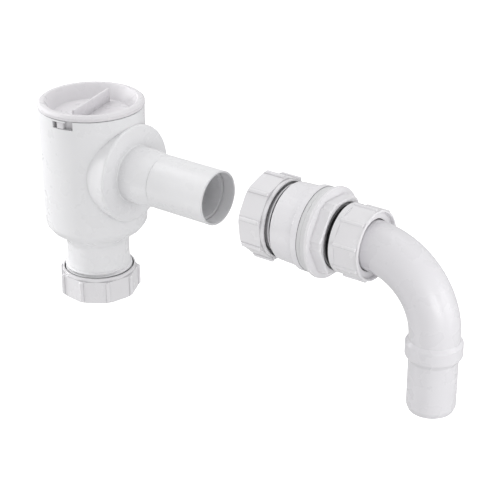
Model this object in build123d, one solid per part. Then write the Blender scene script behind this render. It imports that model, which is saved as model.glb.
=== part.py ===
from build123d import *
import math
import os

# Tank overflow connector with a filter housing.
# Millimetres, +Z up. The origin is the centre of the wall side of the flange
# washer. +X runs through the tank wall to the dip bend inside the tank.

# Clearances
FACE_GAP = 0.1
RUNNING_GAP = 0.3
THREAD_GAP = 0.4
CEMENT_GAP = 0.1

# Overflow pipe joint, used at the connector inlet and the housing outlet
PIPE_R = 21.5
SOCKET_R = PIPE_R + 0.4
PIPE_NUT_HOLE_R = PIPE_R + 0.5
SOCKET_DEPTH = 30.0
PIPE_THREAD_MAJOR_R = 27.5
PIPE_THREAD_DEPTH = 1.5
PIPE_THREAD_ROOT_R = PIPE_THREAD_MAJOR_R - PIPE_THREAD_DEPTH
PIPE_SEAT_R = PIPE_R + 3.3
PIPE_SEAT_DEPTH = 4.0
PIPE_SEAL_IN_CONE = 2.5
PIPE_SEAL_PROUD = 2.7
PIPE_WASHER_THICKNESS = 1.5

# Ribbed pipe nut
PIPE_NUT_LENGTH = 22.0
PIPE_NUT_APOTHEM = 30.2
PIPE_NUT_RIB_TOP_R = 33.8
PIPE_NUT_RIB_R = 1.7
PIPE_NUT_RING_R = 30.0
PIPE_NUT_RING_LENGTH = 3.0
PIPE_NUT_END_WALL = 3.2
PIPE_NUT_END_CHAMFER = 2.8
PIPE_NUT_MOUTH_WALL = 1.3
PIPE_NUT_MOUTH_DEPTH = 3.0
NUT_SIDES = 9
INLET_NUT_ANGLE = 7.3
OUTLET_NUT_ANGLE = 3.9

# Bend tube and the socket it slides into
BEND_TUBE_R = 18.7
BEND_SOCKET_R = BEND_TUBE_R + 0.4
BEND_SOCKET_WALL = 3.3

# Connector body
CONNECTOR_INLET_X = -48.0
BARREL_START_X = -28.3
PIPE_RELIEF_START_X = -35.0
PIPE_RELIEF_END_X = -31.6
PIPE_RELIEF_R = 24.9
BARREL_START_R = 29.9
BARREL_END_R = 30.8
FLANGE_START_X = -8.9
FLANGE_R = 32.5
FLANGE_WASHER_THICKNESS = 3.7
FLANGE_WASHER_R = 32.0
WATERWAY_R = 17.6
TANK_THREAD_DEPTH = 1.5
TANK_THREAD_ROOT_R = BEND_SOCKET_R + BEND_SOCKET_WALL
TANK_THREAD_MAJOR_R = TANK_THREAD_ROOT_R + TANK_THREAD_DEPTH

# Backnut and its washer
BACKNUT_WASHER_START_X = 0.3
BACKNUT_WASHER_THICKNESS = 3.8
BACKNUT_WASHER_R = TANK_THREAD_MAJOR_R + 8.9
BACKNUT_FLANGE_R = TANK_THREAD_MAJOR_R + 10.6
BACKNUT_FLANGE_THICKNESS = 2.6
BACKNUT_HUB_LENGTH = 8.9
BACKNUT_HUB_WALL = 3.4
BACKNUT_HUB_APOTHEM = TANK_THREAD_MAJOR_R + BACKNUT_HUB_WALL
BACKNUT_SCOOP_DEPTH = 2.6
BACKNUT_SCOOP_R = 5.5
BACKNUT_HUB_CHAMFER = 1.0
BACKNUT_HUB_ANGLE = 57.0
BACKNUT_COUNTERSINK = 1.4

# Black thread ring
THREAD_RING_X = 16.0
THREAD_RING_LENGTH = 2.6
THREAD_RING_R = TANK_THREAD_MAJOR_R
THREAD_RING_GROOVE_DEPTH = 0.4
THREAD_RING_GROOVE_R = TANK_THREAD_ROOT_R - THREAD_RING_GROOVE_DEPTH

# Bend joint at the outlet of the connector
BEND_SOCKET_STOP_X = 5.9
BEND_SEAT_R = BEND_TUBE_R + 2.3
BEND_THREAD_WALL = 2.0
BEND_THREAD_MAJOR_R = BEND_SEAT_R + BEND_THREAD_WALL
BEND_THREAD_DEPTH = 1.1
BEND_THREAD_ROOT_R = BEND_THREAD_MAJOR_R - BEND_THREAD_DEPTH
BEND_SEAT_DEPTH = 2.8
BEND_SEAL_IN_CONE = 1.8
BEND_SEAL_PROUD = 2.0
BEND_WASHER_THICKNESS = 1.2
BEND_WASHER_HOLE_R = BEND_TUBE_R + 0.6

# Bend nut
BEND_NUT_MOUTH_X = 19.9
BEND_NUT_LENGTH = 24.7
BEND_NUT_RING_R = BEND_THREAD_MAJOR_R + 3.0
BEND_NUT_RING_LENGTH = 4.0
BEND_NUT_RIB_LENGTH = 19.0
BEND_NUT_WALL = 2.3
BEND_NUT_APOTHEM = BEND_THREAD_MAJOR_R + BEND_NUT_WALL
BEND_NUT_RIB_HEIGHT = 2.5
BEND_NUT_RIB_TOP_R = BEND_NUT_APOTHEM + BEND_NUT_RIB_HEIGHT
BEND_NUT_RIB_R = 1.5
BEND_NUT_RIM_R = BEND_THREAD_MAJOR_R + 3.3
BEND_NUT_RIM_WIDTH = 1.8
BEND_NUT_RIM_ROUNDING = 0.8
BEND_NUT_END_WALL = 2.4
BEND_NUT_HOLE_R = BEND_TUBE_R + 0.9
BEND_NUT_RECESS = 3.2
BEND_NUT_ANGLE = 7.0

# Dip bend
BEND_START_X = 39.2
BEND_RADIUS = 55.5
BEND_WALL = 2.1
DIP_COLLAR_R = BEND_TUBE_R + 2.2
DIP_COLLAR_CHAMFER_TOP_Z = -57.6
DIP_COLLAR_TOP_Z = -60.4
DIP_COLLAR_END_Z = -70.0
DIP_COLLAR_CHAMFER_END_Z = -74.0
DIP_COLLAR_END_ROUNDING = 2.0
DIP_SPIGOT_R = BEND_TUBE_R - 0.6
DIP_SPIGOT_WALL = 2.4
DIP_END_Z = -115.0
DIP_LEAD_IN = 1.6
DIP_LEAD_IN_LENGTH = 4.0

# Filter housing
HOUSING_X = -223.5
HOUSING_TOP_Z = 48.5
HOUSING_TOP_R = 42.3
HOUSING_DRAFT = 0.8
HOUSING_FOOT_Z = -50.0
HOUSING_FOOT_ROUNDING = 6.0
HOUSING_WALL = 3.0
SHOULDER_TOP_R = 37.2
SHOULDER_TOP_Z = -55.8
SHOULDER_MID_R = 31.6
SHOULDER_MID_Z = -59.0
NECK_R = 25.6
NECK_ROUNDING = 8.0
SHOULDER_MID_ROUNDING = 5.0
SHOULDER_TOP_ROUNDING = 4.0
NECK_TOP_Z = -66.5
NECK_END_Z = -83.0
OUTLET_END_Z = -106.0

# Side disc, spigot and sleeve of the housing
DISC_INSET = 2.4
DISC_STAND_OFF = 1.7
DISC_ROUNDING = 1.8
DISC_FLARE = 2.7
DISC_FLARE_LENGTH = 16.0
DISC_WAIST_FALL = 8.8
DISC_WAIST_LENGTH = 16.0
DISC_WAIST_ROUNDING = 30.0
DISC_WALL = 3.0
SPIGOT_ROOT_R = 22.6
SPIGOT_ROOT_LENGTH = 16.0
SPIGOT_TAPER_LENGTH = 12.0
SPIGOT_SEAM_R = 21.1
SPIGOT_LENGTH = 44.0
SPIGOT_BORE_R = 17.3
SLEEVE_LENGTH = 54.0
SLEEVE_WALL = 1.5
SLEEVE_SEAM_GAP = 0.3

# Bayonet slots, angles about the housing axis measured from +X
SLOT_COUNT = 2
SLOT_START_ANGLE = 267.0
SLOT_END_ANGLE = 291.8
SLOT_ENTRY_ANGLE = 283.2
SLOT_BOTTOM_Z = 41.5
SLOT_TOP_Z = 47.0

# Filter cap, hanging in the slots by its lugs
CAP_RIM_GAP = 0.6
CAP_RIM_THICKNESS = 3.3
CAP_OVERHANG = 0.3
CAP_RIM_WIDTH = 3.3
CAP_RIM_ROUNDING = 0.7
CAP_SLOPE_WIDTH = 3.6
CAP_SLOPE_DROP = 1.7
CAP_RECESS_DRAFT = 0.3
CAP_RECESS_DEPTH = 13.5
CAP_FLOOR_THICKNESS = 2.5
CAP_FIN_THICKNESS = 1.9
CAP_FIN_END_GAP = 6.0
CAP_FIN_ANGLE = 100.4
CAP_FIN_ROUNDING = 1.6
CAP_LUG_ANGLE = 276.5
CAP_LUG_WIDTH = 8.0
CAP_LUG_INSET = 0.4
CAP_LUG_GAP = 0.15
O_RING_SECTION_R = 1.1
O_RING_DROP = 10.3

# Filter basket and mesh under the cap
BASKET_R = 30.0
BASKET_WALL = 2.0
BASKET_TOP_RING = 4.0
BASKET_FOOT_RING = 3.0
BASKET_MID_RING = 2.0
BASKET_BAR_WIDTH = 2.6
BASKET_BAR_COUNT = 8
BASKET_FOOT_Z = -44.0
BASKET_FLOOR = 2.0
MESH_THICKNESS = 0.6
CAP_BOSS_WALL = 1.6
CAP_BOSS_LENGTH = 3.0

# Sizes worked out from the ones above
PIPE_NUT_BORE_R = PIPE_THREAD_MAJOR_R + THREAD_GAP
PIPE_STACK = PIPE_NUT_END_WALL + FACE_GAP + PIPE_WASHER_THICKNESS + FACE_GAP + PIPE_SEAL_PROUD
INLET_NUT_X = CONNECTOR_INLET_X - PIPE_STACK
OUTLET_NUT_Z = OUTLET_END_Z - PIPE_STACK
BEND_NUT_END_X = BEND_NUT_MOUTH_X + BEND_NUT_LENGTH
BEND_NUT_WALL_END_X = BEND_NUT_END_X - BEND_NUT_RECESS
BEND_STACK = BEND_NUT_END_WALL + FACE_GAP + BEND_WASHER_THICKNESS + FACE_GAP + BEND_SEAL_PROUD
CONNECTOR_OUTLET_X = BEND_NUT_WALL_END_X - BEND_STACK
BACKNUT_X = BACKNUT_WASHER_START_X + BACKNUT_WASHER_THICKNESS + FACE_GAP
DIP_X = BEND_START_X + BEND_RADIUS
HOUSING_FOOT_R = HOUSING_TOP_R - HOUSING_DRAFT
HOUSING_BORE_R = HOUSING_TOP_R - HOUSING_WALL
DISC_R = HOUSING_TOP_R - DISC_INSET
DISC_REACH = HOUSING_TOP_R + DISC_STAND_OFF
DISC_WAIST_R = DISC_R - DISC_FLARE
DISC_WAIST_REACH = DISC_REACH - DISC_FLARE_LENGTH
DISC_ROOT_R = DISC_WAIST_R - DISC_WAIST_FALL
DISC_ROOT_REACH = DISC_WAIST_REACH - DISC_WAIST_LENGTH
SPIGOT_STRAIGHT_REACH = DISC_REACH + SPIGOT_ROOT_LENGTH
SPIGOT_SEAM_REACH = SPIGOT_STRAIGHT_REACH + SPIGOT_TAPER_LENGTH
SPIGOT_REACH = SPIGOT_SEAM_REACH + SPIGOT_LENGTH
SLEEVE_REACH = SPIGOT_SEAM_REACH + SLEEVE_LENGTH
CAP_RIM_R = HOUSING_TOP_R + CAP_OVERHANG
CAP_RIM_INNER_R = CAP_RIM_R - CAP_RIM_WIDTH
CAP_SLOPE_R = CAP_RIM_INNER_R - CAP_SLOPE_WIDTH
CAP_RECESS_FLOOR_R = CAP_SLOPE_R - CAP_RECESS_DRAFT
CAP_SKIRT_R = HOUSING_BORE_R - RUNNING_GAP
CAP_FIN_LENGTH = 2 * (CAP_RECESS_FLOOR_R - CAP_FIN_END_GAP)
CAP_LUG_R = HOUSING_TOP_R - CAP_LUG_INSET
CAP_UNDERSIDE_Z = HOUSING_TOP_Z + CAP_RIM_GAP
CAP_TOP_Z = CAP_UNDERSIDE_Z + CAP_RIM_THICKNESS
CAP_FLOOR_Z = CAP_TOP_Z - CAP_RECESS_DEPTH
CAP_FLOOR_UNDER_Z = CAP_FLOOR_Z - CAP_FLOOR_THICKNESS
O_RING_Z = CAP_UNDERSIDE_Z - O_RING_DROP
BASKET_TOP_Z = CAP_FLOOR_UNDER_Z - FACE_GAP
BASKET_BORE_R = BASKET_R - BASKET_WALL


def turned(outline, arc=360.0):
    """Turn an outline of (radius, station, corner rounding) about Z."""
    points = [(radius, station) for radius, station, _ in outline]
    roundings = [rounding for _, _, rounding in outline]
    wire = FilletPolyline(*points, radius=roundings, close=True)
    face = Plane.XZ * make_face(wire)
    return revolve(face, Axis.Z, arc)


def tube(outer_r, inner_r, start, end, rounding=0.0):
    """A plain ring about Z between two stations."""
    outline = [
        (inner_r, start, 0.0),
        (outer_r, start, rounding),
        (outer_r, end, rounding),
        (inner_r, end, 0.0),
    ]
    return turned(outline)


def rod(radius, start, end):
    """A plain cylinder about Z between two stations."""
    return Pos(0, 0, (start + end) / 2) * Cylinder(radius, end - start)


def sector(inner_r, outer_r, start, end, first_angle, last_angle):
    """A piece of a ring about Z between two angles."""
    outline = [(inner_r, start, 0.0), (outer_r, start, 0.0), (outer_r, end, 0.0), (inner_r, end, 0.0)]
    return Rot(0, 0, first_angle) * turned(outline, last_angle - first_angle)


def along_x(solid):
    """Stand a solid made about Z on the connector axis, +Z becoming +X."""
    return Rot(0, 90, 0) * solid


def at_housing(solid):
    """Move a solid made about Z to the housing axis."""
    return Pos(HOUSING_X, 0, 0) * solid


def beads(count, centre_r, bead_r, start, end, angle, rounding):
    """Rounded ribs set round Z."""
    outline = [(0, start, 0.0), (bead_r, start, 0.0), (bead_r, end, rounding), (0, end, 0.0)]
    bead = turned(outline)
    solids = []
    for index in range(count):
        turn = angle + index * 360.0 / count
        solids.append(Rot(0, 0, turn) * Pos(centre_r, 0, 0) * bead)
    return solids


def pipe_nut():
    """Ribbed nut for the overflow pipe, closed end at Z 0, mouth at +Z."""
    rib_end = PIPE_NUT_LENGTH - PIPE_NUT_RING_LENGTH
    prism = extrude(
        RegularPolygon(PIPE_NUT_APOTHEM, NUT_SIDES, major_radius=False),
        rib_end,
    )
    bead_centre_r = PIPE_NUT_RIB_TOP_R - PIPE_NUT_RIB_R
    body = prism + beads(
        NUT_SIDES, bead_centre_r, PIPE_NUT_RIB_R, 0, rib_end, 0, PIPE_NUT_RIB_R * 0.7
    )
    envelope = turned([
        (0, 0, 0.0),
        (PIPE_NUT_RIB_TOP_R - PIPE_NUT_END_CHAMFER, 0, 0.8),
        (PIPE_NUT_RIB_TOP_R + 0.2, PIPE_NUT_END_CHAMFER, 0.0),
        (PIPE_NUT_RIB_TOP_R + 0.2, PIPE_NUT_LENGTH, 0.0),
        (0, PIPE_NUT_LENGTH, 0.0),
    ])
    body = (body & envelope) + rod(PIPE_NUT_RING_R, PIPE_NUT_END_WALL, PIPE_NUT_LENGTH)
    bore = turned([
        (0, PIPE_NUT_END_WALL, 0.0),
        (PIPE_NUT_BORE_R, PIPE_NUT_END_WALL, 0.0),
        (PIPE_NUT_BORE_R, PIPE_NUT_LENGTH - PIPE_NUT_MOUTH_DEPTH, 0.0),
        (PIPE_NUT_RING_R - PIPE_NUT_MOUTH_WALL, PIPE_NUT_LENGTH - PIPE_NUT_MOUTH_DEPTH, 0.0),
        (PIPE_NUT_RING_R - PIPE_NUT_MOUTH_WALL, PIPE_NUT_LENGTH, 0.0),
        (0, PIPE_NUT_LENGTH, 0.0),
    ])
    return body - bore - rod(PIPE_NUT_HOLE_R, 0, PIPE_NUT_END_WALL)


def seat_cone(face_r, bore_r, depth):
    """Cone cut into a tube end whose face is at Z 0 and whose body is at +Z."""
    return turned([(0, 0, 0.0), (face_r, 0, 0.0), (bore_r, depth, 0.0), (0, depth, 0.0)])


def seal_ring(bore_r, face_r, seat_bore_r, seat_depth, in_cone, proud):
    """Tapered rubber ring lying in a seat cone, its flat side at -Z."""
    fall = (face_r - seat_bore_r) / seat_depth
    nose_r = face_r - FACE_GAP - fall * in_cone
    return turned([
        (bore_r, -proud, 0.0),
        (face_r - FACE_GAP, -proud, 0.3),
        (face_r - FACE_GAP, 0, 0.0),
        (nose_r, in_cone, 0.3),
        (bore_r, in_cone, 0.0),
    ])


def pipe_seal():
    return seal_ring(
        SOCKET_R, PIPE_SEAT_R, SOCKET_R, PIPE_SEAT_DEPTH,
        PIPE_SEAL_IN_CONE, PIPE_SEAL_PROUD,
    )


def pipe_washer():
    """Slip washer behind the seal, its seal side at Z 0 and its nut side at -Z."""
    return tube(
        PIPE_NUT_BORE_R - RUNNING_GAP, SOCKET_R,
        -PIPE_WASHER_THICKNESS, 0, 0.2,
    )


# Housing body: drum, shoulder and threaded outlet about Z, disc and spigot about X
def housing_body():
    drum = turned([
        (0, OUTLET_END_Z, 0.0),
        (PIPE_THREAD_ROOT_R, OUTLET_END_Z, 0.3),
        (PIPE_THREAD_ROOT_R, NECK_END_Z - 3.0, 0.0),
        (NECK_R, NECK_END_Z, 2.0),
        (NECK_R, NECK_TOP_Z, NECK_ROUNDING),
        (SHOULDER_MID_R, SHOULDER_MID_Z, SHOULDER_MID_ROUNDING),
        (SHOULDER_TOP_R, SHOULDER_TOP_Z, SHOULDER_TOP_ROUNDING),
        (HOUSING_FOOT_R, HOUSING_FOOT_Z, HOUSING_FOOT_ROUNDING),
        (HOUSING_TOP_R, HOUSING_TOP_Z, 0.4),
        (0, HOUSING_TOP_Z, 0.0),
    ])
    side = along_x(turned([
        (0, 0, 0.0),
        (DISC_ROOT_R, 0, 0.0),
        (DISC_ROOT_R, DISC_ROOT_REACH, 0.0),
        (DISC_WAIST_R, DISC_WAIST_REACH, DISC_WAIST_ROUNDING),
        (DISC_R, DISC_REACH, DISC_ROUNDING),
        (SPIGOT_ROOT_R, DISC_REACH, 1.0),
        (SPIGOT_ROOT_R, SPIGOT_STRAIGHT_REACH, 0.0),
        (SPIGOT_SEAM_R, SPIGOT_SEAM_REACH, 0.0),
        (PIPE_R - SLEEVE_WALL - CEMENT_GAP, SPIGOT_SEAM_REACH, 0.0),
        (PIPE_R - SLEEVE_WALL - CEMENT_GAP, SPIGOT_REACH, 0.3),
        (0, SPIGOT_REACH, 0.0),
    ]))
    chamber = turned([
        (0, OUTLET_END_Z + SOCKET_DEPTH, 0.0),
        (WATERWAY_R, OUTLET_END_Z + SOCKET_DEPTH, 0.0),
        (WATERWAY_R, NECK_TOP_Z, 2.0),
        (SHOULDER_MID_R - HOUSING_WALL * 1.6, SHOULDER_MID_Z, 2.0),
        (HOUSING_FOOT_R - HOUSING_WALL, HOUSING_FOOT_Z + HOUSING_WALL * 0.5, 4.0),
        (HOUSING_BORE_R, 0, 0.0),
        (HOUSING_BORE_R, HOUSING_TOP_Z, 0.0),
        (0, HOUSING_TOP_Z, 0.0),
    ])
    disc_chamber = along_x(turned([
        (0, 0, 0.0),
        (DISC_ROOT_R - DISC_WALL, 0, 0.0),
        (DISC_ROOT_R - DISC_WALL, DISC_ROOT_REACH, 0.0),
        (DISC_WAIST_R - DISC_WALL, DISC_WAIST_REACH, 0.0),
        (DISC_R - DISC_WALL, DISC_REACH - DISC_WALL, 0.0),
        (0, DISC_REACH - DISC_WALL, 0.0),
    ]))
    spigot_bore = along_x(rod(SPIGOT_BORE_R, 0, SPIGOT_REACH))
    socket = rod(SOCKET_R, OUTLET_END_Z, OUTLET_END_Z + SOCKET_DEPTH)
    cone = Pos(0, 0, OUTLET_END_Z) * seat_cone(PIPE_SEAT_R, SOCKET_R, PIPE_SEAT_DEPTH)
    solid = drum + side - chamber - disc_chamber - spigot_bore - socket - cone
    cut_inner_r = HOUSING_BORE_R - 2.0
    cut_outer_r = HOUSING_TOP_R + 2.0
    for index in range(SLOT_COUNT):
        turn = index * 360.0 / SLOT_COUNT
        solid -= sector(
            cut_inner_r, cut_outer_r, SLOT_BOTTOM_Z, SLOT_TOP_Z,
            SLOT_START_ANGLE + turn, SLOT_END_ANGLE + turn,
        )
        solid -= sector(
            cut_inner_r, cut_outer_r, SLOT_BOTTOM_Z, HOUSING_TOP_Z + 1.0,
            SLOT_ENTRY_ANGLE + turn, SLOT_END_ANGLE + turn,
        )
    return at_housing(solid)


# Sleeve of pipe size over the housing's spigot
def spigot_sleeve():
    start = SPIGOT_SEAM_REACH + SLEEVE_SEAM_GAP
    ring = tube(PIPE_R, PIPE_R - SLEEVE_WALL, start, SLEEVE_REACH, 0.3)
    return at_housing(along_x(ring))


# Cap: rim, sloped lip, recess with a grip fin, skirt with two bayonet lugs
def filter_cap():
    solid = turned([
        (0, CAP_FLOOR_UNDER_Z, 0.0),
        (CAP_SKIRT_R, CAP_FLOOR_UNDER_Z, 0.5),
        (CAP_SKIRT_R, CAP_UNDERSIDE_Z, 0.0),
        (CAP_RIM_R, CAP_UNDERSIDE_Z, 0.4),
        (CAP_RIM_R, CAP_TOP_Z, CAP_RIM_ROUNDING),
        (CAP_RIM_INNER_R, CAP_TOP_Z, 0.3),
        (CAP_SLOPE_R, CAP_TOP_Z - CAP_SLOPE_DROP, 0.5),
        (CAP_RECESS_FLOOR_R, CAP_FLOOR_Z, 0.8),
        (0, CAP_FLOOR_Z, 0.0),
    ])
    fin_height = CAP_TOP_Z - CAP_FLOOR_Z
    fin_sketch = Pos(0, fin_height / 2) * Rectangle(CAP_FIN_LENGTH, fin_height)
    top_corners = fin_sketch.vertices().sort_by(Axis.Y)[-2:]
    fin_sketch = fillet(top_corners, CAP_FIN_ROUNDING)
    fin = extrude(Plane.XZ * fin_sketch, CAP_FIN_THICKNESS / 2, both=True)
    solid += Pos(0, 0, CAP_FLOOR_Z) * Rot(0, 0, CAP_FIN_ANGLE) * fin
    groove_half = O_RING_SECTION_R + 0.1
    groove_r = HOUSING_BORE_R - FACE_GAP - 2 * O_RING_SECTION_R - FACE_GAP
    solid -= tube(CAP_SKIRT_R + 1.0, groove_r, O_RING_Z - groove_half, O_RING_Z + groove_half)
    for index in range(SLOT_COUNT):
        middle = CAP_LUG_ANGLE + index * 360.0 / SLOT_COUNT
        solid += sector(
            CAP_SKIRT_R - 1.0, CAP_LUG_R, SLOT_BOTTOM_Z + CAP_LUG_GAP, SLOT_TOP_Z - CAP_LUG_GAP,
            middle - CAP_LUG_WIDTH / 2, middle + CAP_LUG_WIDTH / 2,
        )
    boss_r = BASKET_BORE_R - FACE_GAP
    boss_end_z = CAP_FLOOR_UNDER_Z - CAP_BOSS_LENGTH
    solid += tube(boss_r, boss_r - CAP_BOSS_WALL, boss_end_z, CAP_FLOOR_UNDER_Z)
    return at_housing(solid)


def cap_o_ring():
    centre_r = HOUSING_BORE_R - FACE_GAP - O_RING_SECTION_R
    return at_housing(Pos(0, 0, O_RING_Z) * Torus(centre_r, O_RING_SECTION_R))


# Basket: rings joined by upright bars over a closed floor
def filter_basket():
    top = tube(BASKET_R, BASKET_BORE_R, BASKET_TOP_Z - BASKET_TOP_RING, BASKET_TOP_Z, 0.3)
    foot = tube(BASKET_R, BASKET_BORE_R - 0.5, BASKET_FOOT_Z, BASKET_FOOT_Z + BASKET_FOOT_RING)
    floor = rod(BASKET_R - 0.5, BASKET_FOOT_Z, BASKET_FOOT_Z + BASKET_FLOOR)
    middle_z = (BASKET_TOP_Z + BASKET_FOOT_Z) / 2
    middle = tube(BASKET_R, BASKET_BORE_R, middle_z, middle_z + BASKET_MID_RING)
    solid = top + foot + floor + middle
    bar_height = BASKET_TOP_Z - BASKET_FOOT_Z - 1.0
    bar = Box(BASKET_WALL, BASKET_BAR_WIDTH, bar_height)
    bar_centre_r = BASKET_R - BASKET_WALL / 2
    for index in range(BASKET_BAR_COUNT):
        turn = index * 360.0 / BASKET_BAR_COUNT
        solid += Rot(0, 0, turn) * Pos(bar_centre_r, 0, middle_z) * bar
    inside = rod(BASKET_BORE_R, BASKET_FOOT_Z + BASKET_FOOT_RING, BASKET_TOP_Z)
    outside = tube(BASKET_R + 2.0, BASKET_R, BASKET_FOOT_Z, BASKET_TOP_Z)
    return at_housing(solid - inside - outside)


def filter_mesh():
    start = BASKET_FOOT_Z + BASKET_FOOT_RING + FACE_GAP
    end = CAP_FLOOR_UNDER_Z - CAP_BOSS_LENGTH - FACE_GAP
    outer_r = BASKET_BORE_R - FACE_GAP
    return at_housing(tube(outer_r, outer_r - MESH_THICKNESS, start, end))


# Connector body: inlet thread, barrel, flange, tank thread and outlet thread
def connector_body():
    ring_end_x = THREAD_RING_X + THREAD_RING_LENGTH
    solid = turned([
        (0, CONNECTOR_INLET_X, 0.0),
        (PIPE_THREAD_ROOT_R, CONNECTOR_INLET_X, 0.3),
        (PIPE_THREAD_ROOT_R, PIPE_RELIEF_START_X, 0.0),
        (PIPE_RELIEF_R, PIPE_RELIEF_START_X, 0.0),
        (PIPE_RELIEF_R, PIPE_RELIEF_END_X, 0.0),
        (PIPE_THREAD_ROOT_R, PIPE_RELIEF_END_X, 0.0),
        (PIPE_THREAD_ROOT_R, BARREL_START_X, 0.0),
        (BARREL_START_R, BARREL_START_X, 0.5),
        (BARREL_END_R, FLANGE_START_X, 0.0),
        (FLANGE_R, FLANGE_START_X, 0.5),
        (FLANGE_R, -FLANGE_WASHER_THICKNESS, 0.3),
        (TANK_THREAD_ROOT_R, -FLANGE_WASHER_THICKNESS, 0.0),
        (TANK_THREAD_ROOT_R, THREAD_RING_X, 0.0),
        (THREAD_RING_GROOVE_R, THREAD_RING_X, 0.0),
        (THREAD_RING_GROOVE_R, ring_end_x, 0.0),
        (BEND_THREAD_ROOT_R, ring_end_x, 0.0),
        (BEND_THREAD_ROOT_R, CONNECTOR_OUTLET_X, 0.3),
        (0, CONNECTOR_OUTLET_X, 0.0),
    ])
    socket_end_x = CONNECTOR_INLET_X + SOCKET_DEPTH
    solid -= rod(SOCKET_R, CONNECTOR_INLET_X, socket_end_x)
    solid -= rod(WATERWAY_R, socket_end_x, BEND_SOCKET_STOP_X)
    solid -= rod(BEND_SOCKET_R, BEND_SOCKET_STOP_X, CONNECTOR_OUTLET_X)
    solid -= Pos(0, 0, CONNECTOR_INLET_X) * seat_cone(PIPE_SEAT_R, SOCKET_R, PIPE_SEAT_DEPTH)
    bend_cone = Rot(180, 0, 0) * seat_cone(BEND_SEAT_R, BEND_SOCKET_R, BEND_SEAT_DEPTH)
    solid -= Pos(0, 0, CONNECTOR_OUTLET_X) * bend_cone
    return along_x(solid)


def flange_washer():
    bore_r = TANK_THREAD_MAJOR_R + THREAD_GAP
    start = -FLANGE_WASHER_THICKNESS + FACE_GAP
    return along_x(tube(FLANGE_WASHER_R, bore_r, start, 0, 0.5))


def backnut_washer():
    bore_r = TANK_THREAD_MAJOR_R + THREAD_GAP
    end = BACKNUT_WASHER_START_X + BACKNUT_WASHER_THICKNESS
    return along_x(tube(BACKNUT_WASHER_R, bore_r, BACKNUT_WASHER_START_X, end, 0.5))


# Backnut: round flange and a hexagon hub with scooped corners
def backnut():
    hub_end = BACKNUT_FLANGE_THICKNESS + BACKNUT_HUB_LENGTH
    flange = tube(BACKNUT_FLANGE_R, 5.0, 0, BACKNUT_FLANGE_THICKNESS, 0.5)
    hexagon = RegularPolygon(BACKNUT_HUB_APOTHEM, 6, major_radius=False)
    corner_r = BACKNUT_HUB_APOTHEM / math.cos(math.pi / 6)
    scoop_centre_r = corner_r - BACKNUT_SCOOP_DEPTH + BACKNUT_SCOOP_R
    hub = extrude(hexagon, hub_end)
    for index in range(6):
        turn = index * 60.0
        hub -= Rot(0, 0, turn) * Pos(scoop_centre_r, 0, 0) * rod(BACKNUT_SCOOP_R, 0, hub_end)
    hub = chamfer(hub.faces().sort_by(Axis.Z)[-1].edges(), BACKNUT_HUB_CHAMFER)
    bore_r = TANK_THREAD_MAJOR_R + RUNNING_GAP
    bore = turned([
        (0, 0, 0.0),
        (bore_r, 0, 0.0),
        (bore_r, hub_end - BACKNUT_COUNTERSINK, 0.0),
        (bore_r + BACKNUT_COUNTERSINK, hub_end, 0.0),
        (0, hub_end, 0.0),
    ])
    solid = Rot(0, 0, 90.0 + BACKNUT_HUB_ANGLE) * (flange + hub - bore)
    return Pos(BACKNUT_X, 0, 0) * along_x(solid)


def thread_ring():
    start = THREAD_RING_X
    ring = tube(THREAD_RING_R, THREAD_RING_GROOVE_R + FACE_GAP, start, start + THREAD_RING_LENGTH, 0.8)
    return along_x(ring)


# Bend nut: mouth ring, ribbed waist and a rounded closed rim
def bend_nut():
    rib_start = BEND_NUT_RING_LENGTH
    rib_end = rib_start + BEND_NUT_RIB_LENGTH
    end = BEND_NUT_LENGTH
    wall_end = end - BEND_NUT_RECESS
    waist = extrude(
        RegularPolygon(BEND_NUT_APOTHEM, NUT_SIDES, major_radius=False),
        BEND_NUT_RIB_LENGTH,
    )
    bead_centre_r = BEND_NUT_RIB_TOP_R - BEND_NUT_RIB_R
    ribs = beads(
        NUT_SIDES, bead_centre_r, BEND_NUT_RIB_R, 0, BEND_NUT_RIB_LENGTH, 0, BEND_NUT_RIB_R * 0.6
    )
    for rib in ribs:
        waist += rib
    rim = turned([
        (0, rib_end, 0.0),
        (BEND_NUT_RIM_R, rib_end, 0.4),
        (BEND_NUT_RIM_R, end, BEND_NUT_RIM_ROUNDING),
        (0, end, 0.0),
    ])
    recess_r = BEND_NUT_RIM_R - BEND_NUT_RIM_WIDTH
    recess = turned([
        (0, wall_end, 0.0),
        (recess_r, wall_end, 0.5),
        (recess_r, end - 0.5, 0.0),
        (recess_r + 0.4, end, 0.0),
        (0, end, 0.0),
    ])
    solid = Pos(0, 0, rib_start) * waist + rod(BEND_NUT_RING_R, 0, rib_start + 0.5) + rim - recess
    bore_r = BEND_THREAD_MAJOR_R + THREAD_GAP
    bore_end = wall_end - BEND_NUT_END_WALL
    solid -= rod(bore_r, 0, bore_end)
    solid -= rod(BEND_NUT_HOLE_R, bore_end, wall_end)
    return along_x(Pos(0, 0, BEND_NUT_MOUTH_X) * Rot(0, 0, 90.0 + BEND_NUT_ANGLE) * solid)


def bend_slip_washer():
    end = BEND_NUT_WALL_END_X - BEND_NUT_END_WALL - FACE_GAP
    outer_r = BEND_THREAD_MAJOR_R + THREAD_GAP - RUNNING_GAP
    ring = tube(outer_r, BEND_WASHER_HOLE_R, end - BEND_WASHER_THICKNESS, end, 0.2)
    return along_x(ring)


def bend_seal_ring():
    ring = seal_ring(
        BEND_TUBE_R + RUNNING_GAP, BEND_SEAT_R, BEND_SOCKET_R, BEND_SEAT_DEPTH,
        BEND_SEAL_IN_CONE, BEND_SEAL_PROUD,
    )
    return along_x(Pos(0, 0, CONNECTOR_OUTLET_X) * Rot(180, 0, 0) * ring)


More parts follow.
